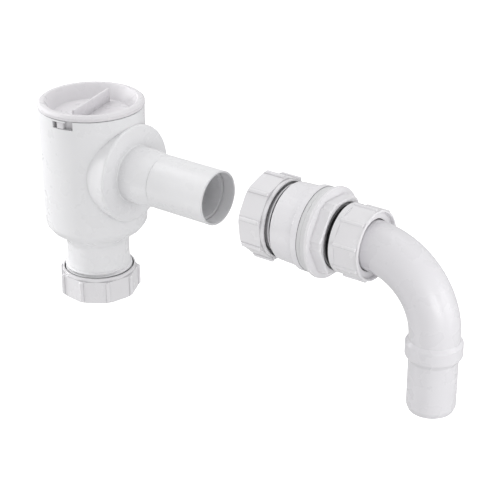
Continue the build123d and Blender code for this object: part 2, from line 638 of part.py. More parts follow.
# Dip bend: tube, quarter bend and the collared spigot that points down
def dip_bend():
    start = Vector(BEND_SOCKET_STOP_X + FACE_GAP, 0, 0)
    turn_start = Vector(BEND_START_X, 0, 0)
    turn_end = Vector(DIP_X, 0, -BEND_RADIUS)
    dip_top = Vector(DIP_X, 0, DIP_COLLAR_END_Z)
    half = BEND_RADIUS * math.sqrt(0.5)
    turn_middle = Vector(BEND_START_X + half, 0, -BEND_RADIUS + half)
    path = Wire([
        Line(start, turn_start).edge(),
        ThreePointArc(turn_start, turn_middle, turn_end).edge(),
        Line(turn_end, dip_top).edge(),
    ])
    section = Plane(start, z_dir=(1, 0, 0))
    outer = sweep(section * Circle(BEND_TUBE_R), path)
    inner = sweep(section * Circle(BEND_TUBE_R - BEND_WALL), path)
    collar = turned([
        (0, DIP_END_Z, 0.0),
        (DIP_SPIGOT_R - DIP_LEAD_IN, DIP_END_Z, 0.4),
        (DIP_SPIGOT_R, DIP_END_Z + DIP_LEAD_IN_LENGTH, 3.0),
        (DIP_SPIGOT_R, DIP_COLLAR_CHAMFER_END_Z, DIP_COLLAR_END_ROUNDING),
        (DIP_COLLAR_R, DIP_COLLAR_END_Z, DIP_COLLAR_END_ROUNDING),
        (DIP_COLLAR_R, DIP_COLLAR_TOP_Z, 0.4),
        (BEND_TUBE_R, DIP_COLLAR_CHAMFER_TOP_Z, 0.0),
        (0, DIP_COLLAR_CHAMFER_TOP_Z, 0.0),
    ])
    dip_bore = rod(DIP_SPIGOT_R - DIP_SPIGOT_WALL, DIP_END_Z, DIP_COLLAR_END_Z)
    return outer + Pos(DIP_X, 0, 0) * collar - inner - Pos(DIP_X, 0, 0) * dip_bore


def main():
    nut = pipe_nut()
    inlet_nut = Pos(INLET_NUT_X, 0, 0) * along_x(Rot(0, 0, 90.0 + INLET_NUT_ANGLE) * nut)
    outlet_nut = at_housing(Pos(0, 0, OUTLET_NUT_Z) * Rot(0, 0, OUTLET_NUT_ANGLE) * nut)
    seal_face_x = CONNECTOR_INLET_X - PIPE_SEAL_PROUD - FACE_GAP
    seal_face_z = OUTLET_END_Z - PIPE_SEAL_PROUD - FACE_GAP
    nodes = {
        "housing_body": housing_body(),
        "spigot_sleeve": spigot_sleeve(),
        "filter_cap": filter_cap(),
        "cap_o_ring": cap_o_ring(),
        "filter_basket": filter_basket(),
        "filter_mesh": filter_mesh(),
        "outlet_nut": outlet_nut,
        "outlet_slip_washer": at_housing(Pos(0, 0, seal_face_z) * pipe_washer()),
        "outlet_seal_ring": at_housing(Pos(0, 0, OUTLET_END_Z) * pipe_seal()),
        "connector_body": connector_body(),
        "flange_washer": flange_washer(),
        "backnut_washer": backnut_washer(),
        "backnut": backnut(),
        "thread_ring": thread_ring(),
        "inlet_nut": inlet_nut,
        "inlet_slip_washer": along_x(Pos(0, 0, seal_face_x) * pipe_washer()),
        "inlet_seal_ring": along_x(Pos(0, 0, CONNECTOR_INLET_X) * pipe_seal()),
        "bend_nut": bend_nut(),
        "bend_slip_washer": bend_slip_washer(),
        "bend_seal_ring": bend_seal_ring(),
        "dip_bend": dip_bend(),
    }
    os.makedirs("parts", exist_ok=True)
    for name, solid in nodes.items():
        export_step(solid, os.path.join("parts", name + ".step"))


main()
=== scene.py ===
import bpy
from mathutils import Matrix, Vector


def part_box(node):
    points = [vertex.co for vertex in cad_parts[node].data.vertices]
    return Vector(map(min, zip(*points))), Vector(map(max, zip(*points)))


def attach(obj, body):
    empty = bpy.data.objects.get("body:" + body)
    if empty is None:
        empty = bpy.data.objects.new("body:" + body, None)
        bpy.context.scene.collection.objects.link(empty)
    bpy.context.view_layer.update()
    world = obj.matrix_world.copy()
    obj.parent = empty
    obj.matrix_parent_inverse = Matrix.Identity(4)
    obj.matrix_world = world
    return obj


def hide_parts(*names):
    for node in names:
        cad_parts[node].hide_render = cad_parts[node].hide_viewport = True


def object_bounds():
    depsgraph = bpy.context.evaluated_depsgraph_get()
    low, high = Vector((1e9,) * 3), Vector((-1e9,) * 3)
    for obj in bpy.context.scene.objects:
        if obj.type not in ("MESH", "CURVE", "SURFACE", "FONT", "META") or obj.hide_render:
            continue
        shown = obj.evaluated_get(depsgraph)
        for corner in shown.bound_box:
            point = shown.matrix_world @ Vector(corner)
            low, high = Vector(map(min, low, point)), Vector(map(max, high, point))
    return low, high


bl_info = {
    "name": "Tank overflow connector",
    "version": (1, 0, 0),
    "blender": (4, 5, 0),
    "location": "3D View > Sidebar > Overflow",
    "description": "Dresses the tank overflow connector in moulded plastic and cuts its threads",
    "category": "Object",
}

import math

import bmesh
import bpy
from mathutils import Matrix, Quaternion, Vector

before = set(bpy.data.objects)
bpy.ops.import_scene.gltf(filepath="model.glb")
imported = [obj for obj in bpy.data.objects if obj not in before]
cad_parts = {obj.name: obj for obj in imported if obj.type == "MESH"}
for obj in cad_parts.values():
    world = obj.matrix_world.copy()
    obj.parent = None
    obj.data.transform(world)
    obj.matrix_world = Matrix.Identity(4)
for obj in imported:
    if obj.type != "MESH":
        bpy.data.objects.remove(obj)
cad_low, cad_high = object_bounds()

MM = 0.001
HOUSING_NODES = ("housing_body", "spigot_sleeve")
CAP_NODES = ("filter_cap",)
PIPE_NUT_NODES = ("outlet_nut", "inlet_nut")
TANK_NUT_NODES = ("bend_nut", "backnut")
CONNECTOR_NODES = ("connector_body",)
BEND_NODES = ("dip_bend",)
WASHER_NODES = ("outlet_slip_washer", "inlet_slip_washer", "bend_slip_washer", "backnut_washer")
BLACK_RUBBER_NODES = (
    "thread_ring", "cap_o_ring", "outlet_seal_ring", "inlet_seal_ring", "bend_seal_ring")
PALE_RUBBER_NODES = ("flange_washer",)
BASKET_NODES = ("filter_basket",)
MESH_NODES = ("filter_mesh",)

# Waves per metre in the marks of the plastic, the rubber and the wire

FLOW_SCALE = 18.0
CLOUD_SCALE = 70.0
SKIN_SCALE = 900.0
SPECK_SCALE = 2600.0
PATCH_SCALE = 120.0
GRAIN_SCALE = 1500.0
WEAVE_SCALE = 420.0

# Relief of each skin: strength and depth

PLASTIC_RELIEF = (0.08, 0.05 * MM)
RUBBER_RELIEF = (0.25, 0.08 * MM)
WIRE_RELIEF = (0.6, 0.2 * MM)

# A thread tooth's width at its foot and top, in pitches, and its fade at each end, in turns

FULL_TOOTH = (0.72, 0.2, 0.09)
NUT_TOOTH = (0.6, 0.16, 0.09)
RIDGE_TOOTH = (0.9, 0.5, 0.04)

# Edges flatter than the first angle look smooth, and those sharper than the second are rounded

SMOOTH_ANGLE = math.radians(40.0)
EASED_ANGLE = math.radians(35.0)


# Sizes and colours a user may change

class OverflowThreads(bpy.types.PropertyGroup):
    pipe_major: bpy.props.FloatProperty(
        name="Pipe thread crest", description="Crest radius of the pipe joint's thread",
        default=27.5 * MM, unit="LENGTH", subtype="DISTANCE")
    pipe_root: bpy.props.FloatProperty(
        name="Pipe thread root", description="Root radius of the pipe joint's thread",
        default=26.0 * MM, unit="LENGTH", subtype="DISTANCE")
    pipe_bore: bpy.props.FloatProperty(
        name="Pipe nut bore", description="Radius at the foot of the pipe nut's inner thread",
        default=27.9 * MM, unit="LENGTH", subtype="DISTANCE")
    pipe_pitch: bpy.props.FloatProperty(
        name="Pipe thread pitch", description="Advance of the pipe thread in one turn",
        default=3.0 * MM, unit="LENGTH", subtype="DISTANCE")
    tank_major: bpy.props.FloatProperty(
        name="Tank thread crest", description="Crest radius of the thread through the tank wall",
        default=23.8 * MM, unit="LENGTH", subtype="DISTANCE")
    tank_root: bpy.props.FloatProperty(
        name="Tank thread root", description="Root radius of the thread through the tank wall",
        default=22.4 * MM, unit="LENGTH", subtype="DISTANCE")
    tank_pitch: bpy.props.FloatProperty(
        name="Tank thread pitch", description="Advance of the tank thread in one turn",
        default=2.309 * MM, unit="LENGTH", subtype="DISTANCE")
    bend_major: bpy.props.FloatProperty(
        name="Bend thread crest", description="Crest radius of the thread under the bend nut",
        default=23.0 * MM, unit="LENGTH", subtype="DISTANCE")
    bend_root: bpy.props.FloatProperty(
        name="Bend thread root", description="Root radius of the thread under the bend nut",
        default=21.9 * MM, unit="LENGTH", subtype="DISTANCE")
    bend_pitch: bpy.props.FloatProperty(
        name="Bend thread pitch", description="Advance of the bend thread in one turn",
        default=3.0 * MM, unit="LENGTH", subtype="DISTANCE")
    ridge_pitch: bpy.props.FloatProperty(
        name="Collar ridge pitch", description="Spacing of the fine ridges beside the inlet nut",
        default=2.1 * MM, unit="LENGTH", subtype="DISTANCE")
    steps: bpy.props.IntProperty(
        name="Steps per turn", description="Segments in one turn of a thread",
        default=72, min=24, max=160)


class OverflowCap(bpy.types.PropertyGroup):
    rim_rise: bpy.props.FloatProperty(
        name="Rim rise", description="How far the rim's edge stands over the plain solid's top",
        default=0.9 * MM, unit="LENGTH", subtype="DISTANCE")
    rim_thickness: bpy.props.FloatProperty(
        name="Rim thickness", description="Height of the plain solid's rim over its underside",
        default=3.3 * MM, unit="LENGTH", subtype="DISTANCE")
    band_height: bpy.props.FloatProperty(
        name="Band height", description="Height of the rim's upright band",
        default=2.5 * MM, unit="LENGTH", subtype="DISTANCE")
    shoulder_width: bpy.props.FloatProperty(
        name="Shoulder width", description="Width of the slope between the band and the rim's edge",
        default=2.0 * MM, unit="LENGTH", subtype="DISTANCE")
    rim_width: bpy.props.FloatProperty(
        name="Rim width", description="Width of the rim's flat edge",
        default=3.3 * MM, unit="LENGTH", subtype="DISTANCE")
    recess_depth: bpy.props.FloatProperty(
        name="Recess depth", description="Depth of the finger recess under the rim",
        default=11.5 * MM, unit="LENGTH", subtype="DISTANCE")
    recess_draft: bpy.props.FloatProperty(
        name="Recess draft", description="How much the recess narrows down to its floor",
        default=6.0 * MM, unit="LENGTH", subtype="DISTANCE")
    fin_length: bpy.props.FloatProperty(
        name="Fin length", description="Length of the grip fin",
        default=56.0 * MM, unit="LENGTH", subtype="DISTANCE")
    fin_thickness: bpy.props.FloatProperty(
        name="Fin thickness", description="Thickness of the grip fin",
        default=1.9 * MM, unit="LENGTH", subtype="DISTANCE")
    fin_drop: bpy.props.FloatProperty(
        name="Fin drop", description="Depth of the fin's edge under the rim",
        default=0.5 * MM, unit="LENGTH", subtype="DISTANCE")
    fin_angle: bpy.props.FloatProperty(
        name="Fin angle", description="Direction of the grip fin about the cap's axis",
        default=math.radians(102.0), unit="ROTATION", subtype="ANGLE")
    boss_radius: bpy.props.FloatProperty(
        name="Boss radius", description="Outer radius of the ring that holds the filter basket",
        default=27.9 * MM, unit="LENGTH", subtype="DISTANCE")
    boss_wall: bpy.props.FloatProperty(
        name="Boss wall", description="Wall of the ring that holds the filter basket",
        default=1.6 * MM, unit="LENGTH", subtype="DISTANCE")
    boss_length: bpy.props.FloatProperty(
        name="Boss length", description="Length of the ring that holds the filter basket",
        default=3.0 * MM, unit="LENGTH", subtype="DISTANCE")
    lug_radius: bpy.props.FloatProperty(
        name="Lug radius", description="Reach of the bayonet lugs from the axis",
        default=41.9 * MM, unit="LENGTH", subtype="DISTANCE")
    lug_width: bpy.props.FloatProperty(
        name="Lug width", description="Width of a bayonet lug",
        default=5.8 * MM, unit="LENGTH", subtype="DISTANCE")
    lug_height: bpy.props.FloatProperty(
        name="Lug height", description="Height of a bayonet lug",
        default=5.2 * MM, unit="LENGTH", subtype="DISTANCE")
    lug_drop: bpy.props.FloatProperty(
        name="Lug drop", description="Depth of the lug's upper side under the rim's top",
        default=6.45 * MM, unit="LENGTH", subtype="DISTANCE")
    lug_angle: bpy.props.FloatProperty(
        name="Lug angle", description="Direction of the first bayonet lug",
        default=math.radians(276.5), unit="ROTATION", subtype="ANGLE")


class OverflowColours(bpy.types.PropertyGroup):
    housing: bpy.props.FloatVectorProperty(
        name="Housing plastic", description="Colour of the filter housing and its sleeve",
        default=(0.885, 0.885, 0.9), size=3, subtype="COLOR", min=0.0, max=1.0)
    cap: bpy.props.FloatVectorProperty(
        name="Cap plastic", description="Colour of the twist cap",
        default=(0.798, 0.782, 0.806), size=3, subtype="COLOR", min=0.0, max=1.0)
    nut: bpy.props.FloatVectorProperty(
        name="Nut plastic", description="Colour of the four nuts",
        default=(0.84, 0.83, 0.85), size=3, subtype="COLOR", min=0.0, max=1.0)
    connector: bpy.props.FloatVectorProperty(
        name="Connector plastic", description="Colour of the barrel and flange",
        default=(0.845, 0.835, 0.86), size=3, subtype="COLOR", min=0.0, max=1.0)
    bend: bpy.props.FloatVectorProperty(
        name="Bend plastic", description="Colour of the dip bend",
        default=(0.755, 0.745, 0.77), size=3, subtype="COLOR", min=0.0, max=1.0)
    washer: bpy.props.FloatVectorProperty(
        name="Washer plastic", description="Colour of the slip washers",
        default=(0.77, 0.77, 0.78), size=3, subtype="COLOR", min=0.0, max=1.0)
    pale_rubber: bpy.props.FloatVectorProperty(
        name="Pale rubber", description="Colour of the flange washer",
        default=(0.74, 0.74, 0.75), size=3, subtype="COLOR", min=0.0, max=1.0)
    black_rubber: bpy.props.FloatVectorProperty(
        name="Black rubber", description="Colour of the rings and seals",
        default=(0.004, 0.004, 0.0045), size=3, subtype="COLOR", min=0.0, max=1.0)
    floor: bpy.props.FloatVectorProperty(
        name="Floor", description="Colour of the studio floor",
        default=(0.66, 0.66, 0.66), size=3, subtype="COLOR", min=0.0, max=1.0)


# Shader groups shared by the materials

def new_group(name, inputs, outputs):
    """An empty shader group with named sockets, and its two end nodes."""
    tree = bpy.data.node_groups.new(name, "ShaderNodeTree")
    for socket, kind, value in inputs:
        made = tree.interface.new_socket(socket, in_out="INPUT", socket_type=kind)
        made.default_value = value
    for socket, kind in outputs:
        tree.interface.new_socket(socket, in_out="OUTPUT", socket_type=kind)
    start = tree.nodes.new("NodeGroupInput")
    end = tree.nodes.new("NodeGroupOutput")
    return tree, start, end


def noise(tree, vector, scale, detail, roughness=0.5):
    node = tree.nodes.new("ShaderNodeTexNoise")
    node.inputs["Scale"].default_value = scale
    node.inputs["Detail"].default_value = detail
    node.inputs["Roughness"].default_value = roughness
    tree.links.new(vector, node.inputs["Vector"])
    return node.outputs["Fac"]


def ramp(tree, value, low, high, to_low, to_high):
    node = tree.nodes.new("ShaderNodeMapRange")
    node.inputs["From Min"].default_value = low
    node.inputs["From Max"].default_value = high
    tree.links.new(value, node.inputs["Value"])
    for socket, source in (("To Min", to_low), ("To Max", to_high)):
        if isinstance(source, (int, float)):
            node.inputs[socket].default_value = source
        else:
            tree.links.new(source, node.inputs[socket])
    return node.outputs["Result"]


def maths(tree, operation, first, second):
    node = tree.nodes.new("ShaderNodeMath")
    node.operation = operation
    for socket, source in zip(node.inputs, (first, second)):
        if isinstance(source, (int, float)):
            socket.default_value = source
        else:
            tree.links.new(source, socket)
    return node.outputs["Value"]


def moulded_skin_group():
    """Moulded plastic: slow flow marks and painted crease shade in the colour, cloudy gloss and a faint
    skin texture.
    """
    tree, start, end = new_group(
        "moulded_skin",
        (("Colour", "NodeSocketColor", (0.8, 0.8, 0.8, 1.0)),
         ("Flow Marks", "NodeSocketFloat", 0.02),
         ("Smooth Roughness", "NodeSocketFloat", 0.24),
         ("Cloudy Roughness", "NodeSocketFloat", 0.38),
         ("Edge Radius", "NodeSocketFloat", 0.00035),
         ("Crease Shade", "NodeSocketFloat", 0.45),
         ("Crease Reach", "NodeSocketFloat", 0.004)),
        (("Colour", "NodeSocketColor"), ("Roughness", "NodeSocketFloat"),
         ("Height", "NodeSocketFloat"), ("Normal", "NodeSocketVector")))
    where = tree.nodes.new("ShaderNodeTexCoord").outputs["Object"]
    flow = noise(tree, where, FLOW_SCALE, 3.0)
    clouds = noise(tree, where, CLOUD_SCALE, 4.0)
    skin = noise(tree, where, SKIN_SCALE, 2.0)
    specks = noise(tree, where, SPECK_SCALE, 1.0)
    dim = maths(tree, "SUBTRACT", 1.0, start.outputs["Flow Marks"])
    marks = ramp(tree, flow, 0.35, 0.65, dim, 1.0)
    # Painted shade: an occlusion test within Crease Reach darkens the colour in creases, gaps and hollows,
    # down to 1 minus Crease Shade
    shade_occlusion = tree.nodes.new("ShaderNodeAmbientOcclusion")
    shade_occlusion.samples = 8
    tree.links.new(start.outputs["Crease Reach"], shade_occlusion.inputs["Distance"])
    darkest_painted_shade = maths(tree, "SUBTRACT", 1.0, start.outputs["Crease Shade"])
    painted_crease_shade = ramp(tree, shade_occlusion.outputs["AO"], 0.15, 0.8, darkest_painted_shade, 1.0)
    # The colour's level is the random flow marks times the painted crease shade
    level = maths(tree, "MULTIPLY", marks, painted_crease_shade)
    edges = tree.nodes.new("ShaderNodeBevel")
    edges.samples = 4
    tree.links.new(start.outputs["Edge Radius"], edges.inputs["Radius"])
    tint = tree.nodes.new("ShaderNodeMix")
    tint.data_type = "RGBA"
    tint.blend_type = "MULTIPLY"
    tint.inputs["Factor"].default_value = 1.0
    shade = tree.nodes.new("ShaderNodeCombineColor")
    for channel in ("Red", "Green", "Blue"):
        tree.links.new(level, shade.inputs[channel])
    tree.links.new(start.outputs["Colour"], tint.inputs["A"])
    tree.links.new(shade.outputs["Color"], tint.inputs["B"])
    rough = ramp(tree, clouds, 0.35, 0.68,
                 start.outputs["Smooth Roughness"], start.outputs["Cloudy Roughness"])
    coarse = maths(tree, "MULTIPLY", skin, 0.6)
    fine = maths(tree, "MULTIPLY", specks, 0.4)
    grain = maths(tree, "ADD", coarse, fine)
    tree.links.new(tint.outputs["Result"], end.inputs["Colour"])
    tree.links.new(rough, end.inputs["Roughness"])
    tree.links.new(grain, end.inputs["Height"])
    tree.links.new(edges.outputs["Normal"], end.inputs["Normal"])
    return tree


def rubber_skin_group():
    """Rubber: powdery patches over a dull skin, with fine moulding grain."""
    tree, start, end = new_group(
        "rubber_skin",
        (("Colour", "NodeSocketColor", (0.02, 0.02, 0.02, 1.0)),
         ("Bloom Colour", "NodeSocketColor", (0.05, 0.05, 0.05, 1.0)),
         ("Bloom", "NodeSocketFloat", 0.2)),
        (("Colour", "NodeSocketColor"), ("Roughness", "NodeSocketFloat"),
         ("Height", "NodeSocketFloat")))
    where = tree.nodes.new("ShaderNodeTexCoord").outputs["Object"]
    patches = noise(tree, where, PATCH_SCALE, 4.0)
    grain = noise(tree, where, GRAIN_SCALE, 2.0)
    amount = ramp(tree, patches, 0.45, 0.75, 0.0, start.outputs["Bloom"])
    mix = tree.nodes.new("ShaderNodeMix")
    mix.data_type = "RGBA"
    tree.links.new(amount, mix.inputs["Factor"])
    tree.links.new(start.outputs["Colour"], mix.inputs["A"])
    tree.links.new(start.outputs["Bloom Colour"], mix.inputs["B"])
    tree.links.new(mix.outputs["Result"], end.inputs["Colour"])
    tree.links.new(ramp(tree, patches, 0.3, 0.7, 0.55, 0.75), end.inputs["Roughness"])
    tree.links.new(grain, end.inputs["Height"])
    return tree


def blank_material(name):
    material = bpy.data.materials.new(name)
    material.use_nodes = True
    tree = material.node_tree
    tree.nodes.clear()
    output = tree.nodes.new("ShaderNodeOutputMaterial")
    shader = tree.nodes.new("ShaderNodeBsdfPrincipled")
    tree.links.new(shader.outputs["BSDF"], output.inputs["Surface"])
    return material, tree, shader


def bump(tree, height, relief, shader, normal=None):
    strength, distance = relief
    node = tree.nodes.new("ShaderNodeBump")
    node.inputs["Strength"].default_value = strength
    node.inputs["Distance"].default_value = distance
    tree.links.new(height, node.inputs["Height"])
    if normal is not None:
        tree.links.new(normal, node.inputs["Normal"])
    tree.links.new(node.outputs["Normal"], shader.inputs["Normal"])


def plastic(name, colour, skin,
            flow_marks=0.015, smooth=0.24, cloudy=0.38, crease_shade=0.45, shade_reach=4.0 * MM):
    """Moulded plastic in one colour, with painted shade darkening its creases and gaps."""
    material, tree, shader = blank_material(name)
    group = tree.nodes.new("ShaderNodeGroup")
    group.node_tree = skin
    group.inputs["Colour"].default_value = (*colour, 1.0)
    group.inputs["Flow Marks"].default_value = flow_marks
    group.inputs["Smooth Roughness"].default_value = smooth
    group.inputs["Cloudy Roughness"].default_value = cloudy
    group.inputs["Crease Shade"].default_value = crease_shade
    group.inputs["Crease Reach"].default_value = shade_reach
    tree.links.new(group.outputs["Colour"], shader.inputs["Base Color"])
    tree.links.new(group.outputs["Roughness"], shader.inputs["Roughness"])
    shader.inputs["IOR"].default_value = 1.49
    bump(tree, group.outputs["Height"], PLASTIC_RELIEF, shader, group.outputs["Normal"])
    return material


def rubber(name, colour, bloom_colour, bloom, skin):
    """Dull rubber with a powdery bloom in patches."""
    material, tree, shader = blank_material(name)
    group = tree.nodes.new("ShaderNodeGroup")
    group.node_tree = skin
    group.inputs["Colour"].default_value = (*colour, 1.0)
    group.inputs["Bloom Colour"].default_value = (*bloom_colour, 1.0)
    group.inputs["Bloom"].default_value = bloom
    tree.links.new(group.outputs["Colour"], shader.inputs["Base Color"])
    tree.links.new(group.outputs["Roughness"], shader.inputs["Roughness"])
    shader.inputs["Specular IOR Level"].default_value = 0.2
    bump(tree, group.outputs["Height"], RUBBER_RELIEF, shader)
    return material


def woven_wire(name):
    """Fine woven wire: two crossed waves give the weave's colour and relief."""
    material, tree, shader = blank_material(name)
    where = tree.nodes.new("ShaderNodeTexCoord").outputs["Object"]
    heights = []
    for direction in ("X", "Z"):
        wave = tree.nodes.new("ShaderNodeTexWave")
        wave.bands_direction = direction
        wave.inputs["Scale"].default_value = WEAVE_SCALE
        tree.links.new(where, wave.inputs["Vector"])
        heights.append(wave.outputs["Fac"])
    height = maths(tree, "MAXIMUM", heights[0], heights[1])
    mix = tree.nodes.new("ShaderNodeMix")
    mix.data_type = "RGBA"
    mix.inputs["A"].default_value = (0.05, 0.05, 0.05, 1.0)
    mix.inputs["B"].default_value = (0.62, 0.63, 0.64, 1.0)
    tree.links.new(height, mix.inputs["Factor"])
    tree.links.new(mix.outputs["Result"], shader.inputs["Base Color"])
    tree.links.new(ramp(tree, height, 0.0, 1.0, 0.7, 0.35), shader.inputs["Roughness"])
    shader.inputs["Metallic"].default_value = 0.9
    bump(tree, height, WIRE_RELIEF, shader)
    return material


def dress(nodes, material):
    for name in nodes:
        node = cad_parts[name]
        node.data.materials.clear()
        node.data.materials.append(material)


# Threads

def deselect_all():
    if bpy.context.object and bpy.context.object.mode != "OBJECT":
        bpy.ops.object.mode_set(mode="OBJECT")
    bpy.ops.object.select_all(action="DESELECT")


def thread_profile(name, root, crest, foot_width, crest_width):
    """A small closed ring standing in the XZ plane, shaped as one thread tooth."""
    deselect_all()
    bpy.ops.mesh.primitive_circle_add(
        vertices=4, radius=1.0, fill_type="NOTHING", location=(0, 0, 0), rotation=(math.radians(90), 0, 0))
    tooth = bpy.context.object
    tooth.name = name
    bpy.ops.object.transform_apply(location=True, rotation=True, scale=True)
    corners = (
        (root, -foot_width / 2), (crest, -crest_width / 2),
        (crest, crest_width / 2), (root, foot_width / 2))
    ring = tooth.data
    order = [0]
    while len(order) < len(ring.vertices):
        for edge in ring.edges:
            ends = set(edge.vertices)
            if order[-1] in ends and not (ends - {order[-1]}) <= set(order):
                order.append((ends - {order[-1]}).pop())
                break
    for index, (radius, station) in zip(order, corners):
        ring.vertices[index].co = (radius, 0.0, station)
    return tooth


def cut_thread(name, root, crest, pitch, start, length, steps, foot, top, fade):
    """A right-handed ridge wound about Z from one station along a length, fading at both ends."""
    turns = length / pitch
    rings = int(steps * turns)
    faded = max(2, int(steps * fade))
    tooth = thread_profile(name, root, crest, pitch * foot, pitch * top)
    screw = tooth.modifiers.new("wind", "SCREW")
    screw.axis = "Z"
    screw.angle = turns * 2.0 * math.pi
    screw.screw_offset = length
    screw.steps = rings
    screw.render_steps = rings
    screw.use_smooth_shade = True
    bpy.ops.object.modifier_apply(modifier=screw.name)
    shape = bmesh.new()
    shape.from_mesh(tooth.data)
    shape.verts.ensure_lookup_table()
    for vert in shape.verts:
        radius = math.hypot(vert.co.x, vert.co.y)
        angle = math.atan2(vert.co.y, vert.co.x)
        around = angle / (2.0 * math.pi)
        # A point's height over the start tells which turn it lies on
        turn = round(vert.co.z / pitch - around)
        station = (turn + around) * steps
        part = min(1.0, max(0.0, min(station, rings - station) / faded))
        if (crest > root and radius > root + 1e-6) or (crest < root and radius < root - 1e-6):
            eased = root + (radius - root) * max(0.03, part)
            vert.co.x *= eased / radius
            vert.co.y *= eased / radius
    ends = [edge for edge in shape.edges if edge.is_boundary]
    bmesh.ops.holes_fill(shape, edges=ends, sides=8)
    bmesh.ops.recalc_face_normals(shape, faces=shape.faces)
    shape.transform(Matrix.Translation((0.0, 0.0, start)))
    shape.to_mesh(tooth.data)
    shape.free()
    return tooth


def place(piece, matrix, body, material):
    """Write a place into a piece's mesh and give it its body, slot and material."""
    piece.data.transform(matrix)
    piece.data.materials.clear()
    piece.data.materials.append(material)
    deselect_all()
    piece.select_set(True)
    bpy.context.view_layer.objects.active = piece
    bpy.ops.object.shade_smooth_by_angle(angle=SMOOTH_ANGLE)
    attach(piece, body)


ALONG_X = Matrix.Rotation(math.radians(90), 4, "Y")


def housing_axis():
    low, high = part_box("cap_o_ring")
    return (low[0] + high[0]) / 2


def worn_by(node):
    """The material that a solid wears."""
    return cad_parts[node].data.materials[0]


def grow(solid, side, radius, station, rings):
    """Draw a round solid's end face along Z through a row of radius and height pairs."""
    bpy.ops.object.mode_set(mode="EDIT")
    bpy.ops.mesh.select_mode(type="FACE")
    bpy.ops.mesh.select_all(action="DESELECT")
    shape = bmesh.from_edit_mesh(solid.data)
    for face in shape.faces:
        face.select_set(face.normal.z * side > 0.9)
    bmesh.update_edit_mesh(solid.data)
    for next_radius, next_station in rings:
        bpy.ops.mesh.extrude_region_move(
            TRANSFORM_OT_translate={"value": (0.0, 0.0, next_station - station)})
        factor = next_radius / radius
        bpy.ops.transform.resize(value=(factor, factor, 1.0), center_override=(0.0, 0.0, 0.0))
        radius, station = next_radius, next_station
    bpy.ops.object.mode_set(mode="OBJECT")


def turned_disc(name, radius, foot, top, sides):
    deselect_all()
    bpy.ops.mesh.primitive_cylinder_add(
        vertices=sides, radius=radius, depth=top - foot, location=(0.0, 0.0, (top + foot) / 2))
    disc = bpy.context.object
    disc.name = name
    bpy.ops.object.transform_apply(location=True, rotation=True, scale=True)
    return disc


def block(name, size, middle, turn):
    """A box with eased edges, turned about Z."""
    deselect_all()
    bpy.ops.mesh.primitive_cube_add(size=1.0, location=middle)
    made = bpy.context.object
    made.name = name
    made.scale = size
    bpy.ops.object.transform_apply(location=True, rotation=True, scale=True)
    ease(made, 0.4 * MM, 3)
    made.data.transform(Matrix.Rotation(turn, 4, "Z"))
    return made


def ease(piece, width, segments):
    """Round a piece's sharp edges."""
    rounding = piece.modifiers.new("ease", "BEVEL")
    rounding.width = width
    rounding.segments = segments
    rounding.limit_method = "ANGLE"
    rounding.angle_limit = EASED_ANGLE
    bpy.ops.object.modifier_apply(modifier=rounding.name)


def joined(pieces):
    deselect_all()
    for piece in pieces:
        piece.select_set(True)
    bpy.context.view_layer.objects.active = pieces[0]
    bpy.ops.object.join()
    return bpy.context.object


# Operators

class OVERFLOW_OT_plastics(bpy.types.Operator):
    """Give every moulded plastic piece its material"""
    bl_idname = "overflow.plastics"
    bl_label = "Dress the plastic"

    def execute(self, context):
        colours = context.scene.overflow_colours
        skin = moulded_skin_group()
        # Each piece's crease figures set how dark its painted crease shade falls and how far it reaches;
        # the housing's reaches across the valley between drum and disc and round the spigot's root, and
        # the cap's across its finger recess
        dress(HOUSING_NODES, plastic(
            "housing_plastic", colours.housing, skin, crease_shade=0.35, shade_reach=18.0 * MM))
        dress(CAP_NODES, plastic(
            "cap_plastic", colours.cap, skin, crease_shade=0.3, shade_reach=12.0 * MM))
        # The two nut materials share one colour and differ only in the depth of their painted crease shade
        dress(PIPE_NUT_NODES, plastic(
            "nut_plastic", colours.nut, skin, flow_marks=0.02, smooth=0.16, cloudy=0.3, crease_shade=0.75))
        dress(TANK_NUT_NODES, plastic(
            "bend_nut_plastic", colours.nut, skin, flow_marks=0.02, smooth=0.16, cloudy=0.3, crease_shade=0.2))
        dress(CONNECTOR_NODES, plastic(
            "connector_plastic", colours.connector, skin,
            flow_marks=0.025, smooth=0.2, cloudy=0.34, crease_shade=0.75))
        dress(BEND_NODES, plastic(
            "bend_plastic", colours.bend, skin, flow_marks=0.012, cloudy=0.34, crease_shade=0.15))
        dress(WASHER_NODES, plastic(
            "washer_plastic", colours.washer, skin, flow_marks=0.03, smooth=0.35, cloudy=0.5))
        dress(BASKET_NODES, plastic(
            "basket_plastic", colours.washer, skin, flow_marks=0.04, smooth=0.4, cloudy=0.55))
        return {"FINISHED"}


class OVERFLOW_OT_rubber(bpy.types.Operator):
    """Give the rings, seals and washers of rubber their material, and the filter its wire"""
    bl_idname = "overflow.rubber"
    bl_label = "Dress the rubber and the wire"

    def execute(self, context):
        colours = context.scene.overflow_colours
        skin = rubber_skin_group()
        black = rubber("black_rubber", colours.black_rubber, (0.02, 0.02, 0.021), 0.25, skin)
        pale = rubber("pale_rubber", colours.pale_rubber, (0.8, 0.8, 0.81), 0.5, skin)
        dress(BLACK_RUBBER_NODES, black)
        dress(PALE_RUBBER_NODES, pale)
        dress(MESH_NODES, woven_wire("filter_wire"))
        return {"FINISHED"}


